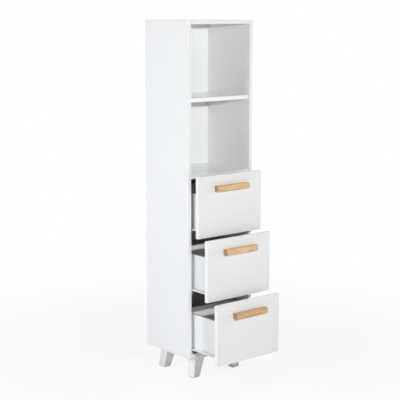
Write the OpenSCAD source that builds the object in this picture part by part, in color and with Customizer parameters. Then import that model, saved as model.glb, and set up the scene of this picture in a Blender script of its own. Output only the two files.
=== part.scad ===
// Bathroom storage tower: two open shelves above, three drawers below, on four splayed legs.
// Millimetres. +Z is up, +X is to the right seen from the front, and the drawers open towards -Y.
// The origin is on the floor, under the middle of the space that the tower fills with its drawers
// standing open. Inside the modules, X runs from the left side, Y back from the carcass's front
// edges and Z up from the carcass's lower edge; place() moves all of that into the tower's frame.

/* [Carcass] */
// Width over both sides
body_w = 350; // [290:1:450]
// Depth of the carcass, from its front edges to its rear edges
body_d = 285; // [282:1:400]
// Height of the carcass, without the legs
body_h = 1400; // [1200:1:1700]
// Thickness of the coated boards
board_t = 16; // [15:0.5:22]
// Radius on the banded edges of the boards
edge_r = 1; // [0.4:0.1:2]
// Height of the deck's top face, the floor of the open part, above the carcass's lower edge
deck_z = 772; // [700:1:920]
// How far the loose shelf stands back from the front
shelf_setback = 10; // [0:1:40]
// Thickness of the thin back panel
back_t = 3; // [2.5:0.5:6]
// From the carcass's rear edges to the back panel
back_inset = 11; // [6:1:16]
// Depth of the grooves that hold the thin panels
groove_d = 7; // [4:0.5:8]

/* [Legs] */
// Height of the legs, with their glides
leg_h = 100; // [70:1:160]
// Width of a leg at its top
leg_top = 51; // [40:1:60]
// Width of a leg at its foot
leg_foot = 38; // [25:1:40]
// From the carcass's sides to the middle of a leg's top
leg_in_x = 87; // [60:1:110]
// From the carcass's front and rear edges to the middle of a leg's top
leg_in_y = 49; // [35:1:80]
// How far a foot stands outwards from its leg's top, sideways and in depth
splay_x = 24; // [0:1:35]
splay_y = 5; // [0:1:15]
// Radius on the legs' long edges
leg_r = 3; // [1:0.5:8]
// Thickness of the glide under each foot
glide_t = 3; // [2:0.5:6]

/* [Drawers] */
// Thickness of the drawer fronts
front_t = 16; // [15:0.5:22]
// Gap between neighbouring fronts
front_gap = 2; // [1.5:0.5:4]
// From the carcass's lower edge to the lowest front
front_reveal = 7; // [0:1:14]
// How far the fronts stand in from the carcass's outer sides
front_inset = 2; // [0:0.5:5]
// Gap between a closed front and the carcass
buffer_gap = 1; // [0.5:0.5:3]
// Height of the drawer boxes' sides
box_h = 154; // [90:1:165]
// Length of the drawer boxes, from the back of the front
box_len = 260; // [220:1:265]
// Thickness of the drawer boxes' sides and backs
box_t = 12; // [10:0.5:16]
// From a front's lower edge to the lower edge of its box
box_lift = 25; // [22:1:40]
// Thickness of the drawer floors
floor_t = 3; // [2.5:0.5:5]
// From a box's lower edge to its floor
floor_lift = 10; // [8:1:16]
// How far the upper drawer stands open
open_1 = 43; // [0:1:190]
// How far the middle drawer stands open
open_2 = 100; // [0:1:190]
// How far the lower drawer stands open
open_3 = 161; // [0:1:190]

/* [Handles] */
// Length of the wooden bar handles
handle_len = 172; // [120:1:220]
// Height of the handles
handle_h = 23; // [16:1:30]
// How far the handles stand out
handle_d = 25; // [18:1:35]
// Radius on the handles' edges
handle_r = 2.5; // [1:0.5:5]
// From a front's upper edge to its handle
handle_drop = 42; // [15:1:80]
// From a handle's ends to its screws
handle_screw_in = 22; // [15:1:40]

/* [Slides] */
// Gap between a box side and the carcass, which holds the slide
slide_gap = 13; // [12.5:0.1:14]
// Thickness of the slides' steel
steel_t = 1.2; // [1:0.1:1.5]
// Length of the part fixed to the carcass
slide_len = 262; // [240:1:268]
// Length of the part fixed to the drawer
runner_len = 250; // [220:1:258]
// Diameter of the nylon rollers
roller_dia = 15.6; // [14:0.1:16]
// Height of the runner's flange beside the drawer
runner_h = 16; // [14:0.5:18]
// Height of the raceway's top above the box's lower edge
race_z = 8; // [7:0.5:9]
// Height of the raceway's turned-down lip
lip_h = 6; // [5:0.5:6.5]
// Running clearance over and under a roller
roller_clear = 0.35; // [0.3:0.05:0.5]

/* [Fittings] */
// Diameter and length of the wooden dowels
dowel_dia = 8; // [6:1:8]
dowel_len = 28; // [24:1:30]
// Diameter of the cam housings
cam_dia = 15; // [12:1:15]
// From a panel's end to the middle of its cams
cam_in = 34; // [24:1:34]
// Diameter of the cam bolts' shanks
cam_bolt_dia = 6; // [5:0.5:7]
// Diameter of the shelf pins
pin_dia = 5; // [4:0.5:6]
// Diameter of the bolts that hold the legs
leg_bolt_dia = 8; // [6:1:10]
// Diameter and height of the nuts let into the bottom panel
insert_dia = 13; // [12:0.5:16]
insert_h = 13; // [9:1:14]
// Diameter of the handle screws
screw_dia = 4; // [3.5:0.5:5]
// Diameter and length of the dowels between a drawer's front and sides
box_dowel_dia = 6; // [5:0.5:8]
box_dowel_len = 26; // [20:1:28]
// Diameter and length of the screws through a drawer's sides into its back
box_screw_dia = 4; // [3:0.5:5]
box_screw_len = 35; // [25:1:50]
// Clearance round a dowel, pin, bolt or thin panel in its seat
seat_clear = 0.05; // [0.02:0.01:0.1]

/* [Hidden] */

$fn = 48;
eps = 0.01;
white = "#f1f2f4";
front_white = "#e9eaea";
steel_white = "#eceef0";
wood = "#dcae78";
zinc = "#b4b6b8";
nylon = "#f4f4f0";
glide_grey = "#4a4a4c";

// Carcass
inner_w = body_w - 2 * board_t;
back_y = body_d - back_inset - back_t;
panel_d = back_y;
bottom_z = 0;
deck_low = deck_z - board_t;
top_low = body_h - board_t;
shelf_low = (deck_z + top_low - board_t) / 2;
shelf_end_gap = 0.5;
panel_lows = [bottom_z, deck_low, top_low];

// Drawers, counted from the top
drawer_count = 3;
front_h = (deck_z - front_reveal - (drawer_count - 1) * front_gap) / drawer_count;
front_w = body_w - 2 * front_inset;
opens = [open_1, open_2, open_3];
function front_low(k) = front_reveal + (drawer_count - k) * (front_h + front_gap);
function front_back_y(k) = -buffer_gap - opens[k - 1];
function box_low(k) = front_low(k) + box_lift;
box_x = board_t + slide_gap;
box_w = body_w - 2 * box_x;

// Handles
handle_x = (body_w - handle_len) / 2;
handle_screws_x = [handle_x + handle_screw_in, body_w - handle_x - handle_screw_in];
function handle_low(k) = front_low(k) + front_h - handle_drop - handle_h;
screw_grip = 14;
screw_head_dia = 8;
screw_head_h = 2.4;
screw_head_in = 3;
screw_clear = 0.3;
function handle_screw_z(k) = handle_low(k) + handle_h / 2;

// Drawer boxes' joints
box_dowel_in_front = 11;
box_dowel_edge = 30;
box_screw_head = 2;
box_joint_zs = [floor_lift + floor_t + box_dowel_edge, box_h - box_dowel_edge];

// Slides: X from the carcass's inner face, Z from the box's lower edge
slide_y = 3;
runner_y = 2;
web_x = slide_gap - steel_t;
race_x = 3;
track_gap = 0.4;
track_w = web_x - track_gap;
roller_side_clear = 0.5;
roller_r = roller_dia / 2;
roller_x = race_x + steel_t + roller_side_clear;
roller_w = track_w - steel_t - roller_side_clear - roller_x;
roller_z = race_z - steel_t - roller_clear - roller_r;
track_z = roller_z - roller_r - roller_clear;
guide_in = 12;
guide_y = slide_y + guide_in;
tail_back = 10;
track_lip = 3;
slide_top = 16;
slide_hook = 5;
axle_r = 2;
axle_clear = 0.05;
boss_r = 2.8;
boss_gap = 0.3;
rivet_h = 0.8;
slot_r = 2.2;
slot_len = 10;
slot_edge = 26;
slot_count = 4;
slot_drop = 5;
slide_slot_z = slide_top - slot_drop;
runner_slot_z = (race_z + runner_h - steel_t) / 2;
roller_groove = 0.5;
roller_rim = 1.5;
roller_hub = 0.6;

// Fittings
hole_spare = 1;
dowel_in_side = 11;
dowel_tip = 1;
dowel_in_y = 45;
cam_step_y = 34;
cam_bolt_in_side = 10;
cam_neck_dia = 3;
cam_head_dia = 5;
cam_head_len = 3;
cam_head_past = 1.5;
cam_clear = 0.3;
cam_room = 4.5;
cam_over = 4;
cam_depth = board_t / 2 + cam_over;
cam_cross = 1.6;
cam_cross_in = 2;
pin_in_side = 8;
pin_out = 7;
pin_in_y = 45;
pin_collar_r = 4;
pin_collar_t = 1.5;
leg_bolt_down = 30;
glide_in = 3;
dowel_ys = [dowel_in_y, panel_d - dowel_in_y];
cam_ys = [dowel_in_y + cam_step_y, panel_d - dowel_in_y - cam_step_y];
pin_ys = [shelf_setback + pin_in_y, panel_d - pin_in_y];

// The tower's frame: X from the middle, Y from the middle of the depth it fills, Z from the floor
front_reach = buffer_gap + max(opens) + front_t + handle_d;
module place() translate([-body_w / 2, (front_reach - body_d) / 2, leg_h]) children();

// The right-hand twin of a left-hand piece
module mirrored() translate([body_w, 0, 0]) mirror([1, 0, 0]) children();
module both_sides() { children(); mirrored() children(); }

// A rectangle with rounded corners
module soft_rect(w, h, r) {
    translate([r, 0]) square([w - 2 * r, h]);
    translate([0, r]) square([w, h - 2 * r]);
    for (x = [r, w - r], y = [r, h - r]) translate([x, y]) circle(r);
}

// Extrusions along X and Y: the outline's first axis is Y or X, and its second is Z
module along_x(len) rotate([90, 0, 90]) linear_extrude(len) children();
module along_y(len) translate([0, len, 0]) rotate([90, 0, 0]) linear_extrude(len) children();
module rod_x(d, len) rotate([0, 90, 0]) cylinder(d = d, h = len);

// ---- Carcass ----

// Holes in a side for one fixed panel's dowels and cam bolts
module side_joint_holes(low) {
    for (y = dowel_ys)
        translate([board_t - dowel_in_side - hole_spare, y, low + board_t / 2])
            rod_x(dowel_dia + 2 * seat_clear, dowel_in_side + hole_spare + eps);
    for (y = cam_ys)
        translate([board_t - cam_bolt_in_side, y, low + board_t / 2])
            rod_x(cam_bolt_dia + 2 * seat_clear, cam_bolt_in_side + eps);
}

module side_board() {
    difference() {
        linear_extrude(body_h) soft_rect(board_t, body_d, edge_r);
        // groove for the back panel
        translate([board_t - groove_d, back_y - seat_clear, -eps])
            cube([groove_d + eps, back_t + 2 * seat_clear, body_h + 2 * eps]);
        for (low = panel_lows) side_joint_holes(low);
        for (y = pin_ys)
            translate([board_t - pin_in_side - hole_spare, y, shelf_low - pin_dia / 2])
                rod_x(pin_dia + 2 * seat_clear, pin_in_side + hole_spare + eps);
    }
}

module left_side() color(white) place() side_board();
module right_side() color(white) place() mirrored() side_board();

// A fixed panel between the sides, its front edge banded, its dowels and cams let in from both ends
module fixed_panel(low) {
    difference() {
        translate([board_t, 0, low])
            along_x(inner_w) union() {
                translate([edge_r, 0]) square([panel_d - edge_r, board_t]);
                translate([0, edge_r]) square([edge_r, board_t - 2 * edge_r]);
                for (z = [edge_r, board_t - edge_r]) translate([edge_r, z]) circle(edge_r);
            }
        both_sides() panel_end_holes(low);
    }
}

module panel_end_holes(low) {
    for (y = dowel_ys)
        translate([board_t - eps, y, low + board_t / 2])
            rod_x(dowel_dia + 2 * seat_clear, dowel_len - dowel_in_side + hole_spare);
    for (y = cam_ys) {
        translate([board_t - eps, y, low + board_t / 2]) rod_x(cam_bolt_dia + 2 * seat_clear, cam_in);
        translate([board_t + cam_in, y, low - eps])
            cylinder(d = cam_dia + 2 * seat_clear, h = cam_depth + eps);
    }
}

module top_panel() color(white) place() fixed_panel(top_low);
module deck_panel() color(white) place() fixed_panel(deck_low);

module bottom_panel() color(white) place() difference() {
    fixed_panel(bottom_z);
    for (at = leg_tops) translate([at[0], at[1], -eps])
        cylinder(d = insert_dia + 2 * seat_clear, h = insert_h + hole_spare);
}

// The back panel fills the grooves from the bottom of the sides to their top
back_edge_gap = 0.3;
module back_panel() color(white) place()
    translate([board_t - groove_d + back_edge_gap, back_y, 0])
        cube([inner_w + 2 * (groove_d - back_edge_gap), back_t, body_h]);

// The loose shelf lies on four pins
module upper_shelf() color(white) place()
    translate([board_t + shelf_end_gap, shelf_setback, shelf_low])
        along_x(inner_w - 2 * shelf_end_gap)
            soft_rect(panel_d - shelf_setback - shelf_end_gap, board_t, edge_r);

module shelf_pin() {
    translate([board_t - pin_in_side, 0, 0]) rod_x(pin_dia, pin_in_side + pin_out);
    translate([board_t, 0, 0]) rod_x(2 * pin_collar_r, pin_collar_t);
}
module shelf_pins() color(zinc) place()
    for (y = pin_ys) both_sides() translate([0, y, shelf_low - pin_dia / 2]) difference() {
        shelf_pin();
        // the collar is cut flat under the shelf
        translate([0, -board_t, pin_dia / 2]) cube([2 * board_t, 2 * board_t, board_t]);
    }

// ---- Hidden joints ----

// A dowel along Z, with its ends turned down to a cone so that it finds its hole
module tipped_dowel(d, len) {
    cylinder(d1 = d - 2 * dowel_tip, d2 = d, h = dowel_tip);
    translate([0, 0, dowel_tip]) cylinder(d = d, h = len - 2 * dowel_tip);
    translate([0, 0, len - dowel_tip]) cylinder(d1 = d, d2 = d - 2 * dowel_tip, h = dowel_tip);
}
module dowel() translate([board_t - dowel_in_side, 0, 0]) rotate([0, 90, 0])
    tipped_dowel(dowel_dia, dowel_len);
module dowels() color(wood) place() both_sides()
    for (low = panel_lows, y = dowel_ys) translate([0, y, low + board_t / 2]) dowel();

// A cam is a disc with a round chamber for the bolt's head and a mouth in its rim where the head goes
// in; from there a narrow slot, which only the bolt's neck can pass, runs a quarter turn round the rim.
// A cross recess in its face turns it
module cam_lock() difference() {
    head_slot = cam_head_dia + 2 * cam_clear;
    neck_slot = cam_neck_dia + 2 * cam_clear;
    cylinder(d = cam_dia, h = cam_depth);
    translate([0, 0, board_t / 2 - head_slot / 2]) cylinder(r = cam_room, h = head_slot);
    translate([0, 0, board_t / 2]) {
        rotate([90, 0, 0]) cylinder(d = head_slot, h = cam_dia);
        translate([-cam_dia, -cam_dia, -neck_slot / 2]) cube([cam_dia, cam_dia, neck_slot]);
        translate([-cam_dia, 0, 0]) rod_x(neck_slot, cam_dia);
    }
    for (turn = [0, 90]) rotate([0, 0, turn])
        translate([-cam_dia / 4, -cam_cross / 2, -eps]) cube([cam_dia / 2, cam_cross, cam_cross_in + eps]);
}
module cam_locks() color(zinc) place() both_sides()
    for (low = panel_lows, y = cam_ys) translate([board_t + cam_in, y, low]) cam_lock();

// A cam bolt: shank in the side and the panel's end, then a thin neck and the head inside the cam
module cam_bolt() {
    shank = cam_bolt_in_side + cam_in - cam_dia / 2 - cam_clear;
    translate([board_t - cam_bolt_in_side, 0, 0]) rod_x(cam_bolt_dia, shank);
    translate([board_t, 0, 0]) rod_x(cam_neck_dia, cam_in + cam_head_past);
    translate([board_t + cam_in + cam_head_past - cam_head_len, 0, 0]) rod_x(cam_head_dia, cam_head_len);
}
module cam_bolts() color(zinc) place() both_sides()
    for (low = panel_lows, y = cam_ys) translate([0, y, low + board_t / 2]) cam_bolt();

// ---- Legs ----

leg_tops = [for (x = [leg_in_x, body_w - leg_in_x], y = [leg_in_y, body_d - leg_in_y]) [x, y]];
leg_low = -leg_h + glide_t;
function outward(at) = [at[0] < body_w / 2 ? -1 : 1, at[1] < body_d / 2 ? -1 : 1];
function foot_at(at) = [at[0] + outward(at)[0] * splay_x, at[1] + outward(at)[1] * splay_y];

leg_facets = 32;
module leg_slab(size) translate([-size / 2, -size / 2, 0]) linear_extrude(eps)
    soft_rect(size, size, leg_r, $fn = leg_facets);

// A tapered block whose foot stands outwards from its top, bored for its bolt
module leg(at) color(white) place() difference() {
    hull() {
        translate([at[0], at[1], -eps]) leg_slab(leg_top);
        translate([foot_at(at)[0], foot_at(at)[1], leg_low]) leg_slab(leg_foot);
    }
    translate([at[0], at[1], -leg_bolt_down - hole_spare])
        cylinder(d = leg_bolt_dia + 2 * seat_clear, h = leg_bolt_down + 2 * hole_spare);
}

// Sleeve nuts in the bottom panel, and the headless bolts that each leg is turned on with
module leg_inserts() color(zinc) place()
    for (at = leg_tops) translate([at[0], at[1], 0]) difference() {
        cylinder(d = insert_dia, h = insert_h);
        translate([0, 0, -eps]) cylinder(d = leg_bolt_dia + 2 * seat_clear, h = insert_h + 2 * eps);
    }

module leg_bolts() color(zinc) place()
    for (at = leg_tops) translate([at[0], at[1], -leg_bolt_down])
        cylinder(d = leg_bolt_dia, h = leg_bolt_down + insert_h);

module leg_glides() color(glide_grey) place()
    for (at = leg_tops) translate([foot_at(at)[0], foot_at(at)[1], -leg_h])
        linear_extrude(glide_t) translate([glide_in - leg_foot / 2, glide_in - leg_foot / 2])
            soft_rect(leg_foot - 2 * glide_in, leg_foot - 2 * glide_in, leg_r);

// ---- Slides ----

// Screw slots along a slide's or runner's web, cut from a steel's thickness before it to one behind it
module web_slots(len, x, z) {
    step = (len - 2 * slot_edge) / (slot_count - 1);
    cut = 3 * steel_t;
    for (i = [0:slot_count - 1]) translate([x - steel_t, slot_edge + i * step - slot_len / 2, z]) {
        rod_x(2 * slot_r, cut);
        translate([0, slot_len, 0]) rod_x(2 * slot_r, cut);
        translate([0, 0, -slot_r]) cube([cut, slot_len, 2 * slot_r]);
    }
}

// Carcass part: a C-shaped channel with an upturned lip, its roller riveted on near the front
module slide_profile() {
    translate([0, track_z - steel_t]) square([steel_t, slide_top - track_z + steel_t]);
    translate([0, track_z - steel_t]) square([track_w, steel_t]);
    translate([track_w - steel_t, track_z - steel_t]) square([steel_t, track_lip + steel_t]);
    translate([0, slide_top - steel_t]) square([steel_t + slide_hook, steel_t]);
}
module slide(k) translate([board_t, 0, box_low(k)]) {
    difference() {
        translate([0, slide_y, 0]) along_y(slide_len) slide_profile();
        translate([0, slide_y, 0]) web_slots(slide_len, 0, slide_slot_z);
    }
    translate([steel_t, guide_y, roller_z]) {
        rod_x(2 * boss_r, roller_x - steel_t - boss_gap);
        rod_x(2 * axle_r, roller_x - steel_t + roller_w + boss_gap);
        translate([roller_x - steel_t + roller_w + boss_gap, 0, 0]) rod_x(2 * boss_r, rivet_h);
    }
}

// Drawer part: a flange that carries the box side, a web with screw slots, and the raceway
module runner_profile() {
    translate([web_x, -steel_t]) square([steel_t, runner_h]);
    translate([web_x, -steel_t]) square([box_t + steel_t, steel_t]);
    translate([race_x, race_z - steel_t]) square([web_x - race_x + eps, steel_t]);
    translate([race_x, race_z - lip_h]) square([steel_t, lip_h]);
}
function tail_y(k) = front_back_y(k) + runner_y + runner_len - tail_back;
module runner(k) translate([board_t, 0, box_low(k)]) {
    difference() {
        translate([0, front_back_y(k) + runner_y, 0]) along_y(runner_len) runner_profile();
        translate([0, front_back_y(k) + runner_y, 0]) web_slots(runner_len, web_x, runner_slot_z);
    }
    translate([0, tail_y(k), roller_z]) {
        translate([roller_x + roller_w + boss_gap, 0, 0])
            rod_x(2 * boss_r, web_x - roller_x - roller_w - boss_gap);
        translate([roller_x - boss_gap, 0, 0]) rod_x(2 * axle_r, web_x - roller_x + boss_gap);
        translate([roller_x - boss_gap - rivet_h, 0, 0]) rod_x(2 * boss_r, rivet_h);
    }
}

// A nylon roller with a shallow ring turned into each face, between its hub and its tread
module roller() rotate([0, 90, 0]) difference() {
    cylinder(r = roller_r, h = roller_w);
    translate([0, 0, -eps]) cylinder(r = axle_r + axle_clear, h = roller_w + 2 * eps);
    for (z = [-eps, roller_w - roller_groove])
        translate([0, 0, z]) difference() {
            cylinder(r = roller_r - roller_rim, h = roller_groove + eps);
            translate([0, 0, -eps]) cylinder(r = boss_r + roller_hub, h = roller_groove + 3 * eps);
        }
}

module slide_left(k) color(steel_white) place() slide(k);
module slide_right(k) color(steel_white) place() mirrored() slide(k);
module guide_rollers(k) color(nylon) place() both_sides()
    translate([board_t + roller_x, guide_y, box_low(k) + roller_z]) roller();
module tail_rollers(k) color(nylon) place() both_sides()
    translate([board_t + roller_x, tail_y(k), box_low(k) + roller_z]) roller();
module runner_left(k) color(steel_white) place() runner(k);
module runner_right(k) color(steel_white) place() mirrored() runner(k);

// ---- Drawers ----

floor_clear = 0.3;

module drawer_front(k) color(front_white) place() difference() {
    translate([front_inset, front_back_y(k) - front_t, front_low(k)])
        linear_extrude(front_h) soft_rect(front_w, front_t, edge_r);
    // groove for the drawer floor
    translate([box_x + box_t - groove_d, front_back_y(k) - groove_d, box_low(k) + floor_lift - seat_clear])
        cube([box_w - 2 * (box_t - groove_d), groove_d + eps, floor_t + 2 * seat_clear]);
    // handle screws, with their heads let in
    for (x = handle_screws_x) translate([x, front_back_y(k) + eps, handle_screw_z(k)]) rotate([90, 0, 0]) {
        cylinder(d = screw_dia + 2 * screw_clear, h = front_t + 2 * eps);
        cylinder(d = screw_head_dia + 2 * screw_clear, h = screw_head_in + eps);
    }
    both_sides() for (z = box_joint_zs)
        translate([box_x + box_t / 2, front_back_y(k) + eps, box_low(k) + z]) rotate([90, 0, 0])
            cylinder(d = box_dowel_dia + 2 * seat_clear, h = box_dowel_in_front + hole_spare + eps);
}

// A box side, rounded along its upper edge, grooved for the floor and drilled for its joints
module box_side(k) translate([box_x, front_back_y(k), box_low(k)]) difference() {
    along_y(box_len) difference() {
        box_board_profile();
        translate([box_t - groove_d, floor_lift - seat_clear])
            square([groove_d + eps, floor_t + 2 * seat_clear]);
    }
    for (z = box_joint_zs) {
        translate([box_t / 2, -eps, z]) rotate([-90, 0, 0])
            cylinder(d = box_dowel_dia + 2 * seat_clear, h = box_dowel_len - box_dowel_in_front + hole_spare);
        translate([0, box_len - box_t / 2, z]) {
            translate([-eps, 0, 0]) rod_x(box_screw_dia + 2 * seat_clear, box_t + 2 * eps);
            sunk_head(seat_clear);
        }
    }
}

// The cone of a countersunk screw head, or of its seat with some clearance round it
module sunk_head(clear) rotate([0, 90, 0])
    cylinder(r1 = box_screw_dia + clear, r2 = box_screw_dia / 2 + clear, h = box_screw_head);

// Section of a box board: square below, rounded along its upper edge
module box_board_profile() {
    square([box_t, box_h - edge_r]);
    translate([edge_r, box_h - edge_r]) square([box_t - 2 * edge_r, edge_r]);
    for (across = [edge_r, box_t - edge_r]) translate([across, box_h - edge_r]) circle(edge_r);
}

module drawer_side_left(k) color(white) place() box_side(k);
module drawer_side_right(k) color(white) place() mirrored() box_side(k);

module drawer_back(k) color(white) place() difference() {
    translate([box_x + box_t, front_back_y(k) + box_len - box_t, box_low(k)]) along_x(box_w - 2 * box_t)
        difference() {
            box_board_profile();
            translate([-eps, floor_lift - seat_clear]) square([groove_d + eps, floor_t + 2 * seat_clear]);
        }
    both_sides() for (z = box_joint_zs)
        translate([box_x + box_t - eps, front_back_y(k) + box_len - box_t / 2, box_low(k) + z])
            rod_x(box_screw_dia + 2 * seat_clear, box_screw_len - box_t + hole_spare);
}

// The floor slides into the grooves of the front, the sides and the back
floor_w = box_w - 2 * (box_t - groove_d + floor_clear);
floor_len = box_len - box_t + 2 * (groove_d - floor_clear);
module drawer_floor(k) color(white) place()
    translate([(body_w - floor_w) / 2, front_back_y(k) - groove_d + floor_clear, box_low(k) + floor_lift])
        cube([floor_w, floor_len, floor_t]);

// A bar of solid wood, its long edges and its ends rounded, flat against the front
module drawer_handle(k) color(wood) place()
    translate([handle_x, front_back_y(k) - front_t - handle_d, handle_low(k)]) difference() {
        intersection() {
            along_x(handle_len) union() {
                translate([handle_r, 0]) square([handle_d - handle_r, handle_h]);
                translate([0, handle_r]) square([handle_r, handle_h - 2 * handle_r]);
                for (z = [handle_r, handle_h - handle_r]) translate([handle_r, z]) circle(handle_r);
            }
            linear_extrude(handle_h) union() {
                translate([handle_r, 0]) square([handle_len - 2 * handle_r, handle_r + eps]);
                translate([0, handle_r]) square([handle_len, handle_d - handle_r]);
                for (x = [handle_r, handle_len - handle_r]) translate([x, handle_r]) circle(handle_r);
            }
        }
        for (x = handle_screws_x)
            translate([x - handle_x, handle_d + eps, handle_h / 2]) rotate([90, 0, 0])
                cylinder(d = screw_dia + 2 * seat_clear, h = screw_grip + hole_spare + eps);
    }

// What holds a drawer together: two handle screws from behind the front, four dowels between
// front and sides, and four screws through the sides into the back
module drawer_fixings(k) color(zinc) place() {
    for (x = handle_screws_x) translate([x, front_back_y(k) - screw_head_in, handle_screw_z(k)]) {
        rotate([90, 0, 0]) cylinder(d = screw_dia, h = front_t - screw_head_in + screw_grip);
        rotate([-90, 0, 0]) cylinder(d = screw_head_dia, h = screw_head_h);
    }
    both_sides() for (z = box_joint_zs) translate([box_x, front_back_y(k), box_low(k) + z]) {
        translate([box_t / 2, -box_dowel_in_front, 0]) rotate([-90, 0, 0])
            tipped_dowel(box_dowel_dia, box_dowel_len);
        translate([0, box_len - box_t / 2, 0]) {
            rod_x(box_screw_dia, box_screw_len);
            sunk_head(0);
        }
    }
}

left_side();
right_side();
top_panel();
upper_shelf();
deck_panel();
bottom_panel();
back_panel();
shelf_pins();
dowels();
cam_locks();
cam_bolts();
leg(leg_tops[0]);  // leg_front_left
leg(leg_tops[1]);  // leg_rear_left
leg(leg_tops[2]);  // leg_front_right
leg(leg_tops[3]);  // leg_rear_right
leg_inserts();
leg_bolts();
leg_glides();
for (k = [1:drawer_count]) {
    slide_left(k);
    slide_right(k);
    guide_rollers(k);
    tail_rollers(k);
    drawer_front(k);
    drawer_side_left(k);
    drawer_side_right(k);
    drawer_back(k);
    drawer_floor(k);
    runner_left(k);
    runner_right(k);
    drawer_handle(k);
    drawer_fixings(k);
}
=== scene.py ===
import math

import bpy
import numpy as np
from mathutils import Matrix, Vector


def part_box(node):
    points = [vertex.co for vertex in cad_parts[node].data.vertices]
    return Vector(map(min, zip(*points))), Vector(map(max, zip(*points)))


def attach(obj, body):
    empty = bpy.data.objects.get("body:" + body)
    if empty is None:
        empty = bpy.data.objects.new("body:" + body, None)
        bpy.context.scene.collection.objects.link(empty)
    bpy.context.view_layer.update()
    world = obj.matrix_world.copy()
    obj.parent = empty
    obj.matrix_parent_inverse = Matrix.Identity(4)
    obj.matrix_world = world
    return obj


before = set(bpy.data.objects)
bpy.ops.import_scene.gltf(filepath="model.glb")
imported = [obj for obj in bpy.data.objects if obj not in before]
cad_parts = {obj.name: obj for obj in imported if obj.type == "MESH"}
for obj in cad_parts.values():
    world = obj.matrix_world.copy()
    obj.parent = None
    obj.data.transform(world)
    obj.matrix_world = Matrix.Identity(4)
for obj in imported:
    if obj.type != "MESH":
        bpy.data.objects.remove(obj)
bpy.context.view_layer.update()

# ---- Side boards ----
# Two full-height particle boards, faced with white melamine paper that was pressed against an embossed
# steel plate. The plate leaves a fine pearl grain and a satin sheen, and the paper is faintly cloudy.
# The cut edges carry a plastic band 1 mm thick, whose joint shows as a hairline along the faces.
MM = 0.001
BAND = 1.0
HAIRLINE = 0.12
BAND_FLATTER = 0.75
BAND_DULLER = 0.06
CLOUD = 240.0
# The real pearls are about 0.4 mm across, too fine for the picture, and are drawn coarser.
PEARL_GRAIN = 1.6
PEARL_RELIEF = 0.03


def linear(colour):
    """A hex colour as the linear values that shaders work in."""
    parts = np.array([int(colour[at:at + 2], 16) for at in (1, 3, 5)]) / 255
    return (*np.where(parts <= 0.04045, parts / 12.92, ((parts + 0.055) / 1.055) ** 2.4), 1.0)


def wire(finish, kind, feeds=(), out=None, **settings):
    """Adds a node with its settings, fills or links its inputs, and returns one of its outputs."""
    node = finish.node_tree.nodes.new("ShaderNode" + kind)
    for name, value in settings.items():
        setattr(node, name, value)
    for name, value in dict(feeds).items():
        named = [socket for socket in node.inputs if socket.enabled and socket.name == name]
        socket = named[0] if named else node.inputs[name]
        if isinstance(value, bpy.types.NodeSocket):
            finish.node_tree.links.new(value, socket)
        else:
            socket.default_value = value
    return node.outputs[out] if out else next(socket for socket in node.outputs if socket.enabled)


def begin(name):
    """A new material with its shader, and the place on the object in millimetres."""
    finish = bpy.data.materials.new(name)
    finish.use_nodes = True
    metres = wire(finish, "TexCoord", out="Object")
    place = wire(finish, "VectorMath", {0: metres, 1: (1 / MM, 1 / MM, 1 / MM)}, operation="MULTIPLY")
    return finish, finish.node_tree.nodes["Principled BSDF"], place


def feed(finish, shader, colour, roughness, height, relief):
    """Links a colour, a roughness and a height in units of relief, in millimetres, to the shader."""
    bump = wire(finish, "Bump", {"Height": height, "Strength": 1.0, "Distance": relief * MM})
    for socket, value in (("Base Color", colour), ("Roughness", roughness), ("Normal", bump)):
        finish.node_tree.links.new(value, shader.inputs[socket])


def coat(names, finish):
    """Gives CAD nodes a material in place of their own, in each of their slots."""
    for name in names:
        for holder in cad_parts[name].material_slots:
            holder.material = finish


def insets(finish, place, node):
    """Distances in millimetres from a point on a board to the nearer face of its box, along X, Y and Z."""
    low, high = (np.array(corner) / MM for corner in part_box(node))
    off = wire(finish, "VectorMath", {0: place, 1: tuple((low + high) / 2)}, operation="SUBTRACT")
    away = wire(finish, "VectorMath", {0: off}, operation="ABSOLUTE")
    inset = wire(finish, "VectorMath", {0: tuple((high - low) / 2), 1: away}, operation="SUBTRACT")
    split = wire(finish, "SeparateXYZ", {"Vector": inset}).node
    return {axis: split.outputs[axis] for axis in "XYZ"}


def melamine(node, light, shade, band_tone, banded):
    """Melamine facing for one board: clouds of two near shades, a pearl relief, and along the banded
    axes an edge band of its own tone, flatter and duller, with a hairline where it meets the facing."""
    finish, shader, place = begin("embossed_melamine_" + node)
    inset = insets(finish, place, node)
    band = inset[banded[0]]
    for axis in banded[1:]:
        band = wire(finish, "Math", {0: band, 1: inset[axis]}, operation="MINIMUM")
    on_band = wire(finish, "Math", {0: band, 1: BAND}, operation="LESS_THAN")
    from_joint = wire(finish, "Math", {0: band, 1: BAND, 2: HAIRLINE}, operation="COMPARE")
    clouds = wire(finish, "TexNoise", {"Vector": place, "Scale": 1 / CLOUD, "Detail": 3})
    pearl = wire(finish, "TexNoise", {"Vector": place, "Scale": 1 / PEARL_GRAIN, "Detail": 2})
    paper = wire(finish, "Mix", {"Factor": clouds, "A": linear(light), "B": linear(shade)},
                 data_type="RGBA")
    taped = wire(finish, "Mix", {"Factor": on_band, "A": paper, "B": linear(band_tone)}, data_type="RGBA")
    edged = wire(finish, "Mix", {"Factor": from_joint, "A": taped, "B": linear("#cfcfd0")},
                 data_type="RGBA")
    sheen = wire(finish, "MapRange", {"Value": pearl, "To Min": 0.12, "To Max": 0.19})
    duller = wire(finish, "Math", {0: on_band, 1: BAND_DULLER, 2: sheen}, operation="MULTIPLY_ADD")
    flatter = wire(finish, "Math", {0: on_band, 1: -BAND_FLATTER, 2: 1.0}, operation="MULTIPLY_ADD")
    height = wire(finish, "Math", {0: pearl, 1: flatter}, operation="MULTIPLY")
    feed(finish, shader, edged, duller, height, PEARL_RELIEF)
    coat([node], finish)


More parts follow.
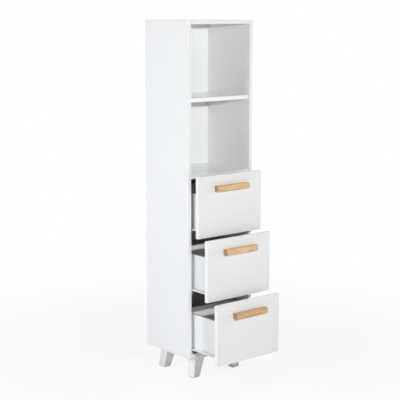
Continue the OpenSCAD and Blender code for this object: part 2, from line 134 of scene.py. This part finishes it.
for side in ("left_side", "right_side"):
    melamine(side, "#f4f5f5", "#f0f1f1", "#e9eae9", "YZ")

# ---- Fixed panels ----
# Top, deck and bottom are cut from the same coated board and stand between the sides, where dowels and
# cam bolts hold them. The front edge carries the band, and so does the rear one, which lies against the
# back panel.
for panel in ("top_panel", "deck_panel", "bottom_panel"):
    melamine(panel, "#f4f5f5", "#f0f1f1", "#e9eae9", "Y")

# ---- Back panel ----
# Thin hardboard slid into grooves. Its inner face is lacquered white and smooth, the rear face is the
# raw brown board, pressed from steamed wood fibres that lie every way and show as pale and dark flecks.
LACQUER = 0.25
# Single fibres are a few hundredths of a millimetre wide: these are drawn as thick bundles of them.
FIBRE = 5.0
FIBRE_RELIEF = 0.02
LAID_WAYS = (0.6, -0.9)


def hardboard(node, name, light, shade, fleck, fibre, axis, raw_below):
    """White lacquer on the face, and raw hardboard beyond a level along an axis: two browns, with noise
    stretched two ways for its fibres. raw_below says on which side of the level the raw board lies."""
    finish, shader, place = begin(name)
    low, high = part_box(node)
    face = (high if raw_below else low)["XYZ".index(axis)] / MM + (-LACQUER if raw_below else LACQUER)
    level = wire(finish, "SeparateXYZ", {"Vector": place}, out=axis)
    raw = wire(finish, "Math", {0: level, 1: face}, operation="LESS_THAN" if raw_below else "GREATER_THAN")
    clouds = wire(finish, "TexNoise", {"Vector": place, "Scale": 1 / CLOUD, "Detail": 4})
    lacquer = wire(finish, "Mix", {"Factor": clouds, "A": linear(light), "B": linear(shade)},
                   data_type="RGBA")
    fibres = None
    for turn in LAID_WAYS:
        laid = wire(finish, "Mapping", {"Vector": place, "Rotation": (turn, turn, turn),
                                        "Scale": (1 / FIBRE, 4 / FIBRE, 4 / FIBRE)})
        strand = wire(finish, "TexNoise", {"Vector": laid, "Scale": 1.0, "Detail": 4, "Roughness": 0.7})
        fibres = wire(finish, "Math", {0: fibres, 1: strand}, operation="MULTIPLY") if fibres else strand
    flecks = wire(finish, "MapRange", {"Value": fibres, "From Min": 0.12, "From Max": 0.42})
    brown = wire(finish, "Mix", {"Factor": flecks, "A": linear(fleck), "B": linear(fibre)},
                 data_type="RGBA")
    colour = wire(finish, "Mix", {"Factor": raw, "A": lacquer, "B": brown}, data_type="RGBA")
    roughness = wire(finish, "MapRange", {"Value": raw, "To Min": 0.38, "To Max": 0.75})
    feed(finish, shader, colour, roughness, flecks, FIBRE_RELIEF)
    coat([node], finish)


hardboard("back_panel", "lacquered_hardboard_back", "#f4f6f4", "#f0f2f1", "#7d5c3e", "#b08d66",
          "Y", False)

# ---- Dowels, cams and cam bolts ----
# Rolled beech dowels and die-cast cams with plated bolts hold the panels between the sides. All of them
# sit in their holes, and only the faces of the cams show, under the panels.
# Beech pores and zinc crystals are a tenth of a millimetre wide or less, and are drawn coarser.
BEECH_PORE = 0.9
PORE_STRETCH = 0.12
PORE_RELIEF = 0.05
CAST_CRYSTAL = 1.4
PLATED_CRYSTAL = 0.8
CRYSTAL_RELIEF = 0.01


def beech(name, names):
    """Raw beech with its grain along X: pale pink-brown, with short darker pores stretched that way."""
    finish, shader, place = begin(name)
    along = wire(finish, "Mapping", {"Vector": place,
                                     "Scale": (PORE_STRETCH / BEECH_PORE, 1 / BEECH_PORE, 1 / BEECH_PORE)})
    pores = wire(finish, "TexNoise", {"Vector": along, "Scale": 1.0, "Detail": 3})
    colour = wire(finish, "Mix", {"Factor": pores, "A": linear("#b98f63"), "B": linear("#dcbb8e")},
                  data_type="RGBA")
    roughness = wire(finish, "MapRange", {"Value": pores, "To Min": 0.62, "To Max": 0.78})
    feed(finish, shader, colour, roughness, pores, PORE_RELIEF)
    coat(names, finish)


def zinc(name, tint, dark, crystal):
    """Zinc, cast or plated: a softly shiny metal in cells of one crystal's size, each of its own shade
    between two blue-greys."""
    finish, shader, place = begin(name)
    shader.inputs["Metallic"].default_value = 1.0
    crystals = wire(finish, "TexVoronoi", {"Vector": place, "Scale": 1 / crystal}, out="Color")
    spread = wire(finish, "SeparateXYZ", {"Vector": crystals}, out="X")
    colour = wire(finish, "Mix", {"Factor": spread, "A": linear(tint), "B": linear(dark)}, data_type="RGBA")
    roughness = wire(finish, "MapRange", {"Value": spread, "To Min": 0.28, "To Max": 0.42})
    feed(finish, shader, colour, roughness, spread, CRYSTAL_RELIEF)
    return finish


beech("raw_beech", ["dowels"])
coat(["cam_locks"], zinc("die_cast_zinc", "#b9babb", "#a3a4a6", CAST_CRYSTAL))
coat(["cam_bolts", "leg_bolts", "leg_inserts"],
     zinc("plated_steel", "#c3c5c8", "#aeb1b6", PLATED_CRYSTAL))

# ---- Loose shelf and its pins ----
# The shelf is the same coated board, banded all round, and lies on four plated steel pins whose collars
# rest against the sides. Its band, and a little its facing, are drawn paler than on the other boards, as
# painted light that lifts the shade its front edge sits in.
# painted light: the shelf's facing and band colours are paler than on the other boards
melamine("upper_shelf", "#f5f6f5", "#f1f2f2", "#f3f4f4", "XY")
coat(["shelf_pins"], zinc("plated_pins", "#c6c8ca", "#b2b4b8", PLATED_CRYSTAL))

# ---- Legs ----
# Four blocks of solid softwood, sawn to a splayed taper, sprayed with white lacquer and screwed on. The
# lacquer sinks a little between the growth rings, so that faint lines run down each leg, and these hollows
# carry a little painted shade.
RING = 3.2
RING_TURN = 0.5
RING_SQUASH = 0.3
RING_SHARE = 0.6
RING_SWAY = 14
SWAYS_PER_MM = (0.02, 0.02, 0.006)
SPRAY_MIST = 1.2
SUNK_LACQUER = 0.03
# Blender's wave texture puts its bands about one unit apart at this scale.
ONE_BAND = 0.3


def lacquered_leg(node):
    """White lacquer over wood: rings are bands over the leg's plan, which slow noise bends and which is
    then turned. They show as a low relief, and as painted shade that darkens the hollows between them a
    little."""
    finish, shader, place = begin("sprayed_lacquer_" + node)
    slow = wire(finish, "Mapping", {"Vector": place, "Scale": SWAYS_PER_MM})
    bend = wire(finish, "TexNoise", {"Vector": slow, "Scale": 1.0, "Detail": 2}, out="Color")
    push = wire(finish, "VectorMath", {0: bend, 1: (RING_SWAY, RING_SWAY, 0), 2: place},
                operation="MULTIPLY_ADD")
    lean = wire(finish, "Mapping", {"Vector": push, "Rotation": (0, 0, RING_TURN),
                                    "Scale": (1 / RING, RING_SQUASH / RING, 0)})
    rings = wire(finish, "TexWave", {"Vector": lean, "Scale": ONE_BAND, "Distortion": 0.6, "Detail": 2})
    mist = wire(finish, "TexNoise", {"Vector": place, "Scale": 1 / SPRAY_MIST, "Detail": 2})
    # painted shade: the colour is darker where the rings sink, lighter on their crests
    colour = wire(finish, "Mix", {"Factor": rings, "A": linear("#eeeeef"), "B": linear("#f5f4f6")},
                  data_type="RGBA")
    roughness = wire(finish, "MapRange", {"Value": mist, "To Min": 0.30, "To Max": 0.42})
    height = wire(finish, "Math", {0: rings, 1: RING_SHARE, 2: mist}, operation="MULTIPLY_ADD")
    feed(finish, shader, colour, roughness, height, SUNK_LACQUER)
    coat([node], finish)


for end in ("front", "rear"):
    for hand in ("left", "right"):
        lacquered_leg(f"leg_{end}_{hand}")

# ---- Glides ----
# Moulded polypropylene pads under the feet: dark grey, with a spark-eroded matt texture that is scuffed
# paler and smoother along the rim, where it slides on the floor.
# The real texture's grain is about a tenth of a millimetre and is drawn coarser.
SPARK = 0.8
SPARK_RELIEF = 0.05
SCUFF = 1.0
SCUFF_SMOOTHER = 0.15
finish, shader, place = begin("moulded_polypropylene")
spark = wire(finish, "TexNoise", {"Vector": place, "Scale": 1 / SPARK, "Detail": 3})
above = wire(finish, "SeparateXYZ", {"Vector": place}, out="Z")
scuffed = wire(finish, "MapRange", {"Value": above, "From Min": SCUFF, "From Max": 0, "To Max": 0.7})
mould = wire(finish, "Mix", {"Factor": spark, "A": linear("#434345"), "B": linear("#525254")},
             data_type="RGBA")
colour = wire(finish, "Mix", {"Factor": scuffed, "A": mould, "B": linear("#77777a")}, data_type="RGBA")
matt = wire(finish, "MapRange", {"Value": spark, "To Min": 0.5, "To Max": 0.66})
roughness = wire(finish, "Math", {0: scuffed, 1: -SCUFF_SMOOTHER, 2: matt}, operation="MULTIPLY_ADD")
feed(finish, shader, colour, roughness, spark, SPARK_RELIEF)
coat(["leg_glides"], finish)

# ---- Slides, runners and their rollers ----
# Channels bent from 1.2 mm steel strip, coated with baked white epoxy powder that keeps a slight
# orange-peel. Nylon rollers turn on riveted axles: unpainted, faintly translucent and a little yellower
# than the steel.
PEEL = 2.2
PEEL_RELIEF = 0.04
POWDER_CLOUD = 60
# Nylon's own grain is hardly visible and is drawn coarser.
NYLON_GRAIN = 0.9
NYLON_RELIEF = 0.02
finish, shader, place = begin("powder_coated_steel")
peel = wire(finish, "TexNoise", {"Vector": place, "Scale": 1 / PEEL, "Detail": 1})
clouds = wire(finish, "TexNoise", {"Vector": place, "Scale": 1 / POWDER_CLOUD, "Detail": 3})
colour = wire(finish, "Mix", {"Factor": clouds, "A": linear("#e4e6e8"), "B": linear("#eceef0")},
              data_type="RGBA")
roughness = wire(finish, "MapRange", {"Value": clouds, "To Min": 0.28, "To Max": 0.36})
feed(finish, shader, colour, roughness, peel, PEEL_RELIEF)
coat([f"slide_{hand}_{k}" for hand in ("left", "right") for k in (1, 2, 3)], finish)
coat([f"drawer_{k}_runner_{hand}" for hand in ("left", "right") for k in (1, 2, 3)], finish)

finish, shader, place = begin("natural_nylon")
grain = wire(finish, "TexNoise", {"Vector": place, "Scale": 1 / NYLON_GRAIN, "Detail": 3})
colour = wire(finish, "Mix", {"Factor": grain, "A": linear("#e6e5de"), "B": linear("#f1f0ea")},
              data_type="RGBA")
roughness = wire(finish, "MapRange", {"Value": grain, "To Min": 0.34, "To Max": 0.46})
shader.inputs["Subsurface Weight"].default_value = 0.05
feed(finish, shader, colour, roughness, grain, NYLON_RELIEF)
coat([f"{end}_rollers_{k}" for end in ("guide", "tail") for k in (1, 2, 3)], finish)

# ---- Drawer boxes ----
# Sides and back of 12 mm board wrapped in a smooth white foil, and a hardboard floor in grooves,
# lacquered above and greyish brown below. Beech dowels join the sides to the front, plated screws join
# them to the back, and two more hold the handle.
CHIP = 7.0
CHIP_RELIEF = 0.05
FOIL_CLOUD = 90


def wrapped_foil(node):
    """Thin white foil rolled round a board: even in colour but for slow clouds, and drawn down a little
    over the chips of the core, which show as a soft unevenness of the gloss."""
    finish, shader, place = begin("wrapped_foil_" + node)
    clouds = wire(finish, "TexNoise", {"Vector": place, "Scale": 1 / FOIL_CLOUD, "Detail": 3})
    chips = wire(finish, "TexNoise", {"Vector": place, "Scale": 1 / CHIP, "Detail": 2})
    colour = wire(finish, "Mix", {"Factor": clouds, "A": linear("#f4f5f6"), "B": linear("#eff1f2")},
                  data_type="RGBA")
    roughness = wire(finish, "MapRange", {"Value": chips, "To Min": 0.24, "To Max": 0.36})
    feed(finish, shader, colour, roughness, chips, CHIP_RELIEF)
    coat([node], finish)


for k in (1, 2, 3):
    for part in ("side_left", "side_right", "back"):
        wrapped_foil(f"drawer_{k}_{part}")
    hardboard(f"drawer_{k}_floor", f"lacquered_hardboard_floor_{k}", "#eceef0", "#e7e9ea",
              "#77706a", "#9b958e", "Z", True)

DOWELS_PAST = 100
DOWELS_WITHIN = 60
FIXING_RELIEF = 0.03


def fixings(k):
    """Plated steel for a drawer's screws and beech for its dowels, told apart by where they lie: the
    dowels are the pieces more than 100 mm from the middle and in the front 60 mm."""
    finish, shader, place = begin(f"plated_screws_and_dowels_{k}")
    low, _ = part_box(f"drawer_{k}_fixings")
    split = wire(finish, "SeparateXYZ", {"Vector": place}).node
    from_middle = wire(finish, "Math", {0: split.outputs["X"]}, operation="ABSOLUTE")
    outer = wire(finish, "Math", {0: from_middle, 1: DOWELS_PAST}, operation="GREATER_THAN")
    forward = wire(finish, "Math", {0: split.outputs["Y"], 1: low[1] / MM + DOWELS_WITHIN},
                   operation="LESS_THAN")
    wooden = wire(finish, "Math", {0: outer, 1: forward}, operation="MULTIPLY")
    grain = wire(finish, "TexNoise", {"Vector": place, "Scale": 1 / BEECH_PORE, "Detail": 3})
    metal = wire(finish, "Mix", {"Factor": grain, "A": linear("#aeb1b6"), "B": linear("#c6c8ca")},
                 data_type="RGBA")
    wood = wire(finish, "Mix", {"Factor": grain, "A": linear("#b98f63"), "B": linear("#dcbb8e")},
                data_type="RGBA")
    colour = wire(finish, "Mix", {"Factor": wooden, "A": metal, "B": wood}, data_type="RGBA")
    roughness = wire(finish, "MapRange", {"Value": wooden, "To Min": 0.35, "To Max": 0.7})
    metallic = wire(finish, "Math", {0: 1.0, 1: wooden}, operation="SUBTRACT")
    finish.node_tree.links.new(metallic, shader.inputs["Metallic"])
    feed(finish, shader, colour, roughness, grain, FIXING_RELIEF)
    coat([f"drawer_{k}_fixings"], finish)


for k in (1, 2, 3):
    fixings(k)

# ---- Slide and runner screws ----
# Pan-head chipboard screws with a cross recess, rolled from zinc-plated steel. Four sit in the slots of
# each slide and runner, driven into the sides and the drawer boxes with their heads on the steel.
HEAD_R = 3.2 * MM
HEAD_H = 1.5 * MM
RIM_SHARE = 0.35
SHANK_R = 1.75 * MM
TIP_R = 0.1 * SHANK_R
SCREW_LEN = 11 * MM
CROSS_ARM = 2.0 * MM
CROSS_WIDE = 0.55 * MM
CROSS_DEEP = 0.9 * MM
STEEL = 1.2 * MM
SLOT_EDGE = 26 * MM
BOX_BOARD = 12 * MM
SLIDE_SLOT_DOWN = 5 * MM
RUNNER_SLOT_DOWN = 3.4 * MM
SCREWS_IN_ROW = 4
CROWN_STEPS = 9
CROWN_START = 0.12
AROUND = 32


def skin(rings):
    """Faces over rings of points: quads from each ring to the next, closed round, and a fan to the
    middle of the first and last ring."""
    rows, around = rings.shape[:2]
    at = np.arange(rows * around).reshape(rows, around)
    step = np.roll(at, -1, axis=1)
    quads = np.stack([at[:-1], at[1:], step[1:], step[:-1]], axis=-1).reshape(-1, 4)
    first = np.stack([np.full(around, rows * around), at[0], step[0]], axis=-1)
    last = np.stack([np.full(around, rows * around + 1), step[-1], at[-1]], axis=-1)
    points = np.concatenate([rings.reshape(-1, 3), rings[[0, -1]].mean(axis=1)])
    return points, quads.tolist() + first.tolist() + last.tolist()


def screw(seat, hand):
    """A screw whose head rests at seat. Its outline is turned round the X axis: a quarter-ellipse crown
    on a short rim, a flat underside, a shank and a point. The crown sinks where a cross of two bars
    lies on it."""
    crown = np.linspace(CROWN_START, 1.0, CROWN_STEPS)
    radius = np.concatenate([crown * HEAD_R, [HEAD_R, SHANK_R, SHANK_R, TIP_R]])
    domed = HEAD_H * (RIM_SHARE + (1 - RIM_SHARE) * np.sqrt(1 - crown**2))
    height = np.concatenate([domed, [0, 0, 2 * SHANK_R - SCREW_LEN, -SCREW_LEN]])
    angle = np.linspace(0, 2 * math.pi, AROUND, endpoint=False)
    across, up = radius[:, None] * np.cos(angle), radius[:, None] * np.sin(angle)
    bar = np.maximum(np.abs(across), np.abs(up)) < CROSS_ARM
    cross = bar & (np.minimum(np.abs(across), np.abs(up)) < CROSS_WIDE) & (height[:, None] > 0)
    along = np.broadcast_to(height[:, None], across.shape) - CROSS_DEEP * cross
    rings = np.stack([seat[0] + hand * along, seat[1] + across, seat[2] + hand * up], axis=-1)
    return skin(rings)


def screw_row(name, node, hand, seat_x, seat_z, body):
    """Screws spaced evenly between the first and the last slot of a slide or runner, in one mesh."""
    low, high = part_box(node)
    points, faces = [], []
    for y in np.linspace(low[1] + SLOT_EDGE, high[1] - SLOT_EDGE, SCREWS_IN_ROW):
        more, skins = screw((seat_x, y, seat_z), hand)
        first = sum(len(p) for p in points)
        points.append(more)
        faces += [[first + corner for corner in face] for face in skins]
    mesh = bpy.data.meshes.new(name)
    mesh.from_pydata(np.concatenate(points), [], faces)
    piece = bpy.data.objects.new(name, mesh)
    bpy.context.scene.collection.objects.link(piece)
    mesh.materials.append(bpy.data.materials["plated_steel"])
    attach(piece, body)


for k in (1, 2, 3):
    for name, hand in (("left", 1), ("right", -1)):
        low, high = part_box(f"slide_{name}_{k}")
        wall = low[0] if hand == 1 else high[0]
        screw_row(f"slide_screws_{name}_{k}", f"slide_{name}_{k}", hand, wall + hand * STEEL,
                  high[2] - SLIDE_SLOT_DOWN, "carcass")
        low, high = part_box(f"drawer_{k}_runner_{name}")
        flange = high[0] if hand == 1 else low[0]
        screw_row(f"runner_screws_{name}_{k}", f"drawer_{k}_runner_{name}", -hand,
                  flange - hand * (BOX_BOARD + STEEL), high[2] - RUNNER_SLOT_DOWN, f"drawer_{k}")

# ---- Drawer fronts ----
# Three equal boards with the same facing as the carcass, banded on all four edges. Their faces are drawn in
# a slightly greyer white than the carcass, as painted shade for the dimmer light that falls on them.
for k in (1, 2, 3):
    # painted shade: the fronts' facing colours are greyer than the carcass's, for their dimmer light
    melamine(f"drawer_{k}_front", "#e9e9ea", "#e4e4e5", "#f6f6f6", "XZ")

# ---- Handles ----
# Bars planed from pale oak, their edges rounded over, finished with a thin clear lacquer. Growth rings
# run along the bar and show their ends on its end faces, which soak up more lacquer and are darker.
# Each bar is cut from its own place in the wood and has its own tone.
GROWTH = 3.0
LATE_WOOD = 2.2
PITH_BESIDE = 38
PITH_FURTHER = 6
PITH_ABOVE = 30
GRAIN_SLOPE = (0, 0.05, 0.03)
GRAIN_SWAY = 16
SWAY_LONG = 110
SWAY_WIDE = 26
STREAK_LONG = 70
STREAK_WIDE = 5
PLANK_APART = 300
# Real pores are about 0.3 mm wide and are drawn coarser.
PORE = 0.7
PORE_LONG = 9
END_SOAK = (1.6, 0.2)
GRAIN_RELIEF = 0.03


def oak_bar(k, light, dark):
    """Oak with its rings as bands of the distance from a pith line, which lies beside the bar and slopes
    against it, pores as short dark dashes in the early wood, and darker end faces."""
    node = f"drawer_{k}_handle"
    finish, shader, place = begin(f"lacquered_oak_{k}")
    low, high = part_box(node)
    middle = (low + high) / 2 / MM
    centred = wire(finish, "Mapping", {"Vector": place,
                                       "Location": (PLANK_APART * k - middle[0], -middle[1], -middle[2])})
    slow = wire(finish, "Mapping", {"Vector": centred,
                                    "Scale": (1 / SWAY_LONG, 1 / SWAY_WIDE, 1 / SWAY_WIDE)})
    bend = wire(finish, "TexNoise", {"Vector": slow, "Scale": 1.0, "Detail": 2}, out="Color")
    bent = wire(finish, "VectorMath", {0: bend, 1: (0, GRAIN_SWAY, GRAIN_SWAY), 2: centred},
                operation="MULTIPLY_ADD")
    from_pith = wire(finish, "VectorMath",
                     {0: bent, 1: (PLANK_APART * k, -PITH_BESIDE - PITH_FURTHER * k, PITH_ABOVE)},
                     operation="SUBTRACT")
    across = wire(finish, "Mapping", {"Vector": from_pith, "Rotation": GRAIN_SLOPE, "Scale": (0.0, 1, 1)})
    radius = wire(finish, "VectorMath", {0: across}, out="Value", operation="LENGTH")
    count = wire(finish, "Math", {0: radius, 1: GROWTH}, operation="DIVIDE")
    ring = wire(finish, "Math", {0: count}, operation="FRACT")
    late = wire(finish, "Math", {0: ring, 1: LATE_WOOD}, operation="POWER")
    dashes = wire(finish, "Mapping", {"Vector": centred,
                                      "Scale": (1 / (PORE_LONG * PORE), 1 / PORE, 1 / PORE)})
    pores = wire(finish, "TexNoise", {"Vector": dashes, "Scale": 1.0, "Detail": 2})
    streaks = wire(finish, "Mapping", {"Vector": centred,
                                       "Scale": (1 / STREAK_LONG, 1 / STREAK_WIDE, 1 / STREAK_WIDE)})
    figure = wire(finish, "TexNoise", {"Vector": streaks, "Scale": 1.0, "Detail": 3})
    tone = wire(finish, "MapRange", {"Value": figure, "From Min": 0.35, "From Max": 0.7})
    pale = wire(finish, "Mix", {"Factor": tone, "A": linear(light), "B": linear(dark)}, data_type="RGBA")
    ringed = wire(finish, "Mix", {"Factor": late, "A": pale, "B": linear("#b78a5a")}, data_type="RGBA")
    open_pore = wire(finish, "MapRange", {"Value": pores, "From Min": 0.62, "From Max": 0.70})
    early = wire(finish, "Math", {0: 1.0, 1: ring}, operation="SUBTRACT")
    shown = wire(finish, "Math", {0: open_pore, 1: early}, operation="MULTIPLY")
    flecked = wire(finish, "Mix", {"Factor": shown, "A": ringed, "B": linear("#a97a4a")}, data_type="RGBA")
    inset = insets(finish, place, node)["X"]
    ends = wire(finish, "MapRange", {"Value": inset, "From Min": END_SOAK[0], "From Max": END_SOAK[1]})
    cut = wire(finish, "Mix", {"Factor": late, "A": linear("#be966a"), "B": linear("#9a7249")},
               data_type="RGBA")
    soaked = wire(finish, "Mix", {"Factor": ends, "A": flecked, "B": cut}, data_type="RGBA")
    roughness = wire(finish, "MapRange", {"Value": late, "To Min": 0.36, "To Max": 0.46})
    height = wire(finish, "Math", {0: shown, 1: -1.0, 2: late}, operation="MULTIPLY_ADD")
    feed(finish, shader, soaked, roughness, height, GRAIN_RELIEF)
    coat([node], finish)


for k, light, dark in ((1, "#eccb98", "#c99c6a"), (2, "#f4d5a8", "#d5a979"), (3, "#e2bf8e", "#ba8f60")):
    oak_bar(k, light, dark)

# ---- Camera ----
# It stands to the left in front of the tower, a little above its top, and looks slightly down. The
# picture is shifted by 15 pixels, so that the tower stands as high in it as in the photograph.
CAMERA_AT = (-3.0785, -3.5753, 1.5446)
CAMERA_TURN = 0.698
CAMERA_DOWN = 0.1538
FRAME_PIXELS = 400
FOCAL_PIXELS = 1135.27
SHIFT_PIXELS = 15
FAR = 60
lens = bpy.data.cameras.new("camera")
lens.sensor_width = 36
lens.lens = FOCAL_PIXELS * lens.sensor_width / FRAME_PIXELS
lens.shift_y = -SHIFT_PIXELS / FRAME_PIXELS
lens.clip_end = FAR
camera = bpy.data.objects.new("camera", lens)
camera.location = CAMERA_AT
camera.rotation_euler = (math.pi / 2 - CAMERA_DOWN, 0, -CAMERA_TURN)
bpy.context.scene.collection.objects.link(camera)
bpy.context.scene.camera = camera

# ---- Floor and room ----
# A plain pale matt floor under an even white surround. To the eye, straight or in a reflection, it is
# mixed with plain white: by a fixed share near the tower, where its soft shadow stays, and wholly from
# 2.2 m away. The surround looks white too, but lights the tower only faintly.
FLOOR_HALF = 12.0
FLOOR_DULL = 0.9
FLOOR_GLOSS = 0.1
POOL = (0.5, 2.2)
POOL_SHARE = 0.87
AMBIENT = 0.11


def seen(surface):
    """One for rays that show a surface, straight, in a reflection or through glass, and else nothing."""
    rays = wire(surface, "LightPath").node
    total = wire(surface, "Math", {0: rays.outputs["Is Camera Ray"], 1: rays.outputs["Is Glossy Ray"]},
                 operation="ADD")
    return wire(surface, "Math", {0: total, 1: rays.outputs["Is Transmission Ray"]}, operation="ADD",
                use_clamp=True)


corners = np.array([(-1, -1, 0), (1, -1, 0), (1, 1, 0), (-1, 1, 0)]) * FLOOR_HALF
sheet = bpy.data.meshes.new("floor")
sheet.from_pydata(corners, [], [(0, 1, 2, 3)])
floor = bpy.data.objects.new("floor", sheet)
bpy.context.scene.collection.objects.link(floor)

paint = bpy.data.materials.new("pale_floor")
paint.use_nodes = True
matt = paint.node_tree.nodes["Principled BSDF"]
matt.inputs["Base Color"].default_value = linear("#f7f7f7")
matt.inputs["Roughness"].default_value = FLOOR_DULL
matt.inputs["Specular IOR Level"].default_value = FLOOR_GLOSS
glow = wire(paint, "Emission", {"Color": (1, 1, 1, 1), "Strength": 1.0})
where = wire(paint, "TexCoord", out="Object")
reach = wire(paint, "VectorMath", {0: where}, out="Value", operation="LENGTH")
even = wire(paint, "MapRange", {"Value": reach, "From Min": POOL[0], "From Max": POOL[1],
                                "To Min": POOL_SHARE, "To Max": 1.0}, interpolation_type="SMOOTHSTEP")
share = wire(paint, "Math", {0: seen(paint), 1: even}, operation="MULTIPLY", use_clamp=True)
pale = wire(paint, "MixShader", {0: share, 1: matt.outputs[0], 2: glow})
paint.node_tree.links.new(pale, paint.node_tree.nodes["Material Output"].inputs["Surface"])
sheet.materials.append(paint)

room = bpy.data.worlds.new("room")
room.use_nodes = True
bpy.context.scene.world = room
sky = room.node_tree.nodes["Background"]
level = wire(room, "MapRange", {"Value": seen(room), "To Min": AMBIENT, "To Max": 1.0})
room.node_tree.links.new(level, sky.inputs["Strength"])
sky.inputs["Color"].default_value = (1, 1, 1, 1)


# ---- Lamps ----
# One lamp in front, a little left and above, throws the short shadows under the top and the shelf. A
# broad soft panel stands beside the tower's left side, and weaker ones on the right and overhead lift
# the sides that those two leave in shade.
def lamp(name, at, aim, size, watts, colour):
    """A square soft lamp at a point, turned towards another."""
    light = bpy.data.lights.new(name, "AREA")
    light.size = size
    light.energy = watts
    light.color = linear(colour)[:3]
    holder = bpy.data.objects.new(name, light)
    way = np.array(aim) - np.array(at)
    flat = math.hypot(way[0], way[1])
    holder.location = at
    holder.rotation_euler = (math.atan2(flat, -way[2]), 0, math.atan2(way[1], way[0]) - math.pi / 2)
    bpy.context.scene.collection.objects.link(holder)


lamp("front_lamp", (-0.92, -3.04, 1.735), (0, 0, 0.9), 0.09, 63, "#ffffff")
lamp("left_panel", (-3.2, 0.4, 1.4), (0, 0.1, 0.8), 1.6, 56, "#f8faff")
lamp("right_panel", (2.9, -1.2, 0.7), (0, 0, 0.5), 1.2, 28, "#ffffff")
lamp("top_panel", (0.2, 0.3, 3.6), (0, 0, 1.2), 1.4, 18, "#ffffff")

bpy.context.scene.view_settings.view_transform = "Standard"
